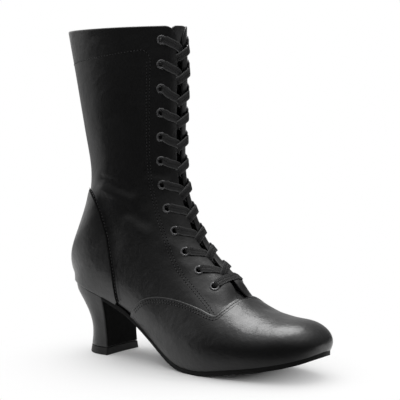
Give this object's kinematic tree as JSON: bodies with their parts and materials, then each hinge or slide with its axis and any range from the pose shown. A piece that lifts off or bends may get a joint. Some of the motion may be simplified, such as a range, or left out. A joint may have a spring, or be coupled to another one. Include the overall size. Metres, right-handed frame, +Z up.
{
  "type": "lace-up dance boot",
  "caption": "Calf-high black leather lace-up dance boot with a waisted heel, vamp with curved wings, heel counter, tongue and flat laces over a full-length front lacing.",
  "frame": {"origin": "on the floor, at the bottom centre of the boot's bounding box", "axes": "+X from heel to toe, -Y to the outer (lateral) side of this right boot, +Z up the shaft"},
  "size_m": [0.244, 0.0828, 0.2676],
  "materials": {
    "upper_leather": "smooth satin",
    "lining_textile": "matte",
    "sole_leather": "matte dyed",
    "heel_leather": "smooth satin",
    "top_piece_rubber": "matte",
    "eyelet_metal": "black enamel",
    "lace_cotton": "flat woven"
  },
  "bodies": {
    "root": {"counter": "upper_leather", "eyelet_lateral_01": "eyelet_metal", "eyelet_lateral_02": "eyelet_metal", "eyelet_lateral_03": "eyelet_metal", "eyelet_lateral_04": "eyelet_metal", "eyelet_lateral_05": "eyelet_metal", "eyelet_lateral_06": "eyelet_metal", "eyelet_lateral_07": "eyelet_metal", "eyelet_lateral_08": "eyelet_metal", "eyelet_lateral_09": "eyelet_metal", "eyelet_lateral_10": "eyelet_metal", "eyelet_lateral_11": "eyelet_metal", "eyelet_lateral_12": "eyelet_metal", "eyelet_medial_01": "eyelet_metal", "eyelet_medial_02": "eyelet_metal", "eyelet_medial_03": "eyelet_metal", "eyelet_medial_04": "eyelet_metal", "eyelet_medial_05": "eyelet_metal", "eyelet_medial_06": "eyelet_metal", "eyelet_medial_07": "eyelet_metal", "eyelet_medial_08": "eyelet_metal", "eyelet_medial_09": "eyelet_metal", "eyelet_medial_10": "eyelet_metal", "eyelet_medial_11": "eyelet_metal", "eyelet_medial_12": "eyelet_metal", "heel": "heel_leather", "heel_top_piece": "top_piece_rubber", "insole": "lining_textile", "lace_bar": "lace_cotton", "lace_crossing_01": "lace_cotton", "lace_crossing_02": "lace_cotton", "lace_crossing_03": "lace_cotton", "lace_crossing_04": "lace_cotton", "lace_crossing_05": "lace_cotton", "lace_crossing_06": "lace_cotton", "lace_crossing_07": "lace_cotton", "lace_crossing_08": "lace_cotton", "lace_crossing_09": "lace_cotton", "lace_crossing_10": "lace_cotton", "lace_crossing_11": "lace_cotton", "outsole": "sole_leather", "tongue": "upper_leather", "upper": "upper_leather", "vamp": "upper_leather"}
  },
  "joints": []
}
